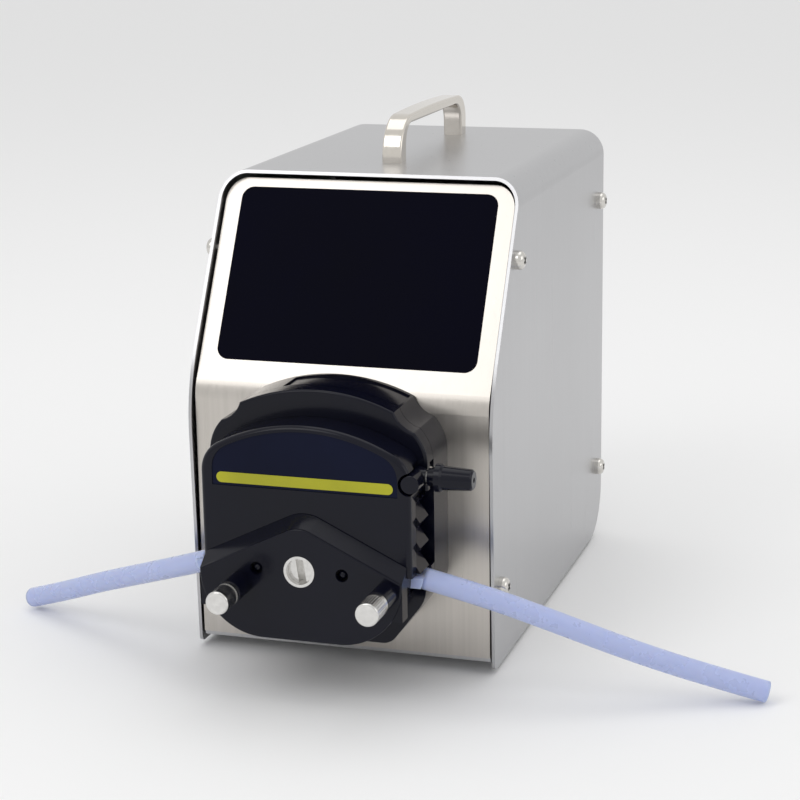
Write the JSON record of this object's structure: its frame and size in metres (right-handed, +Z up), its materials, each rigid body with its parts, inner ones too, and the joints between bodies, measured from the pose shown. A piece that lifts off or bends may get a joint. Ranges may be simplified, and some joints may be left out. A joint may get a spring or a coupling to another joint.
{
  "type": "peristaltic pump",
  "caption": "Bench peristaltic pump: sheet-steel drive with sloping touch screen and carry handle, and a roller pump head with lever-lifted jaw and soft tubing.",
  "frame": {"origin": "on the table, under the middle of the box of drive and pump head, free tubing left out", "axes": "+Z up, -Y towards the pump head and screen, +X to the right seen from the front"},
  "size_m": [0.3861, 0.3198, 0.2504],
  "materials": {
    "brushed_stainless": "fine vertical brushing",
    "polished_nickel": "satin polished",
    "screw_steel": "bright zinc",
    "screen_glass": "gloss black",
    "dark_metal": "matt black",
    "black_plastic": "satin gloss moulded",
    "rubber_black": "matt",
    "motor_black": "satin",
    "board_green": "solder mask",
    "socket_black": "fine texture",
    "connector_nickel": "tin plated",
    "shaft_steel": "turned",
    "brass_insert": "turned",
    "roller_plastic": "turned",
    "clamp_plastic": "moulded",
    "label_navy": "satin film",
    "strip_yellow": "printed film",
    "knurled_nickel": "straight knurl",
    "tube_silicone": "translucent, bluish"
  },
  "bodies": {
    "root": {"outer_cover": "brushed_stainless", "front_panel": "brushed_stainless", "touch_screen_glass": "screen_glass", "display_module": "dark_metal", "base_plate": "brushed_stainless", "rear_panel": "brushed_stainless", "carry_handle": "polished_nickel", "handle_screws": "screw_steel", "cover_screws": "screw_steel", "rubber_feet": "rubber_black", "motor_body": "motor_black", "motor_bracket": "dark_metal", "motor_screws": "screw_steel", "power_supply": "dark_metal", "control_board": "board_green", "board_standoffs": "screw_steel", "fan_frame": "dark_metal", "mains_inlet": "socket_black", "switch_housing": "socket_black", "signal_connector": "connector_nickel", "rear_screws": "screw_steel", "head_rear_housing": "black_plastic", "head_lower_body": "black_plastic", "front_bracket": "black_plastic", "front_bushing": "shaft_steel", "rear_bearing": "shaft_steel", "thumbscrew_inserts": "brass_insert", "locating_balls": "shaft_steel", "guide_pins": "shaft_steel", "cam_pad": "shaft_steel", "head_mount_screws": "screw_steel", "tube_loop": "tube_silicone", "tube_left": "tube_silicone", "tube_right": "tube_silicone"},
    "rotor": {"pump_shaft": "shaft_steel", "rotor_front_plate": "shaft_steel", "rotor_rear_plate": "shaft_steel", "roller_pins": "shaft_steel", "shaft_coupling": "shaft_steel", "motor_shaft": "shaft_steel"},
    "roller_1_body": {"roller_1": "roller_plastic"},
    "roller_2_body": {"roller_2": "roller_plastic"},
    "roller_3_body": {"roller_3": "roller_plastic"},
    "jaw": {"jaw_front_cover": "black_plastic", "jaw_block": "black_plastic", "jaw_label": "label_navy", "label_strip": "strip_yellow", "tube_clamps": "clamp_plastic"},
    "lever": {"lever_shaft": "shaft_steel", "lever_cam": "shaft_steel", "lever_knuckle": "black_plastic", "lever_pin": "shaft_steel", "lever_grip": "black_plastic"},
    "left_collar_body": {"left_collar": "black_plastic"},
    "left_knob": {"left_thumbscrew": "knurled_nickel"},
    "right_collar_body": {"right_collar": "black_plastic"},
    "right_knob": {"right_thumbscrew": "knurled_nickel"},
    "rocker": {"power_rocker": "socket_black"},
    "fan": {"fan_rotor": "socket_black"}
  },
  "joints": [
    {"name": "rotor_spin", "type": "hinge", "parent": "root", "child": "rotor", "pos_m": [0, -0.1089, 0.064], "axis": [0, -1, 0], "continuous": true},
    {"name": "roller_1_spin", "type": "hinge", "parent": "rotor", "child": "roller_1_body", "pos_m": [0, -0.1089, 0.087], "axis": [0, -1, 0], "continuous": true},
    {"name": "roller_2_spin", "type": "hinge", "parent": "rotor", "child": "roller_2_body", "pos_m": [-0.01992, -0.1089, 0.0525], "axis": [0, -1, 0], "continuous": true},
    {"name": "roller_3_spin", "type": "hinge", "parent": "rotor", "child": "roller_3_body", "pos_m": [0.01992, -0.1089, 0.0525], "axis": [0, -1, 0], "continuous": true},
    {"name": "jaw_lift", "type": "slide", "parent": "root", "child": "jaw", "axis": [0, 0, 1], "range_m": [0, 0.005]},
    {"name": "lever_turn", "type": "hinge", "parent": "jaw", "child": "lever", "pos_m": [0.0495, -0.1099, 0.1055], "axis": [0, -1, 0], "range_deg": [0, 45]},
    {"name": "left_collar_slide", "type": "slide", "parent": "root", "child": "left_collar_body", "axis": [0, -1, 0], "range_m": [0, 0.0024]},
    {"name": "left_thumbscrew_turn", "type": "hinge", "parent": "left_collar_body", "child": "left_knob", "pos_m": [-0.0286, -0.1459, 0.0561], "axis": [0, -1, 0], "range_deg": [0, 1080]},
    {"name": "right_collar_slide", "type": "slide", "parent": "root", "child": "right_collar_body", "axis": [0, -1, 0], "range_m": [0, 0.0024]},
    {"name": "right_thumbscrew_turn", "type": "hinge", "parent": "right_collar_body", "child": "right_knob", "pos_m": [0.0411, -0.1459, 0.0573], "axis": [0, -1, 0], "range_deg": [0, 1080]},
    {"name": "power_rocker_tilt", "type": "hinge", "parent": "root", "child": "rocker", "pos_m": [-0.036, 0.1514, 0.1176], "axis": [-1, 0, 0], "range_deg": [0, 14]},
    {"name": "fan_spin", "type": "hinge", "parent": "root", "child": "fan", "pos_m": [0.034, 0.1459, 0.1696], "axis": [0, 1, 0], "continuous": true}
  ],
  "couplings": [
    {"joint": "roller_1_spin", "follows": "rotor_spin", "ratio": -3.7059},
    {"joint": "roller_2_spin", "follows": "rotor_spin", "ratio": -3.7059},
    {"joint": "roller_3_spin", "follows": "rotor_spin", "ratio": -3.7059},
    {"joint": "lever_turn", "follows": "jaw_lift", "rad_per_m": 157.08},
    {"joint": "left_collar_slide", "follows": "left_thumbscrew_turn", "m_per_rad": 0.00012732},
    {"joint": "right_collar_slide", "follows": "right_thumbscrew_turn", "m_per_rad": 0.00012732}
  ]
}
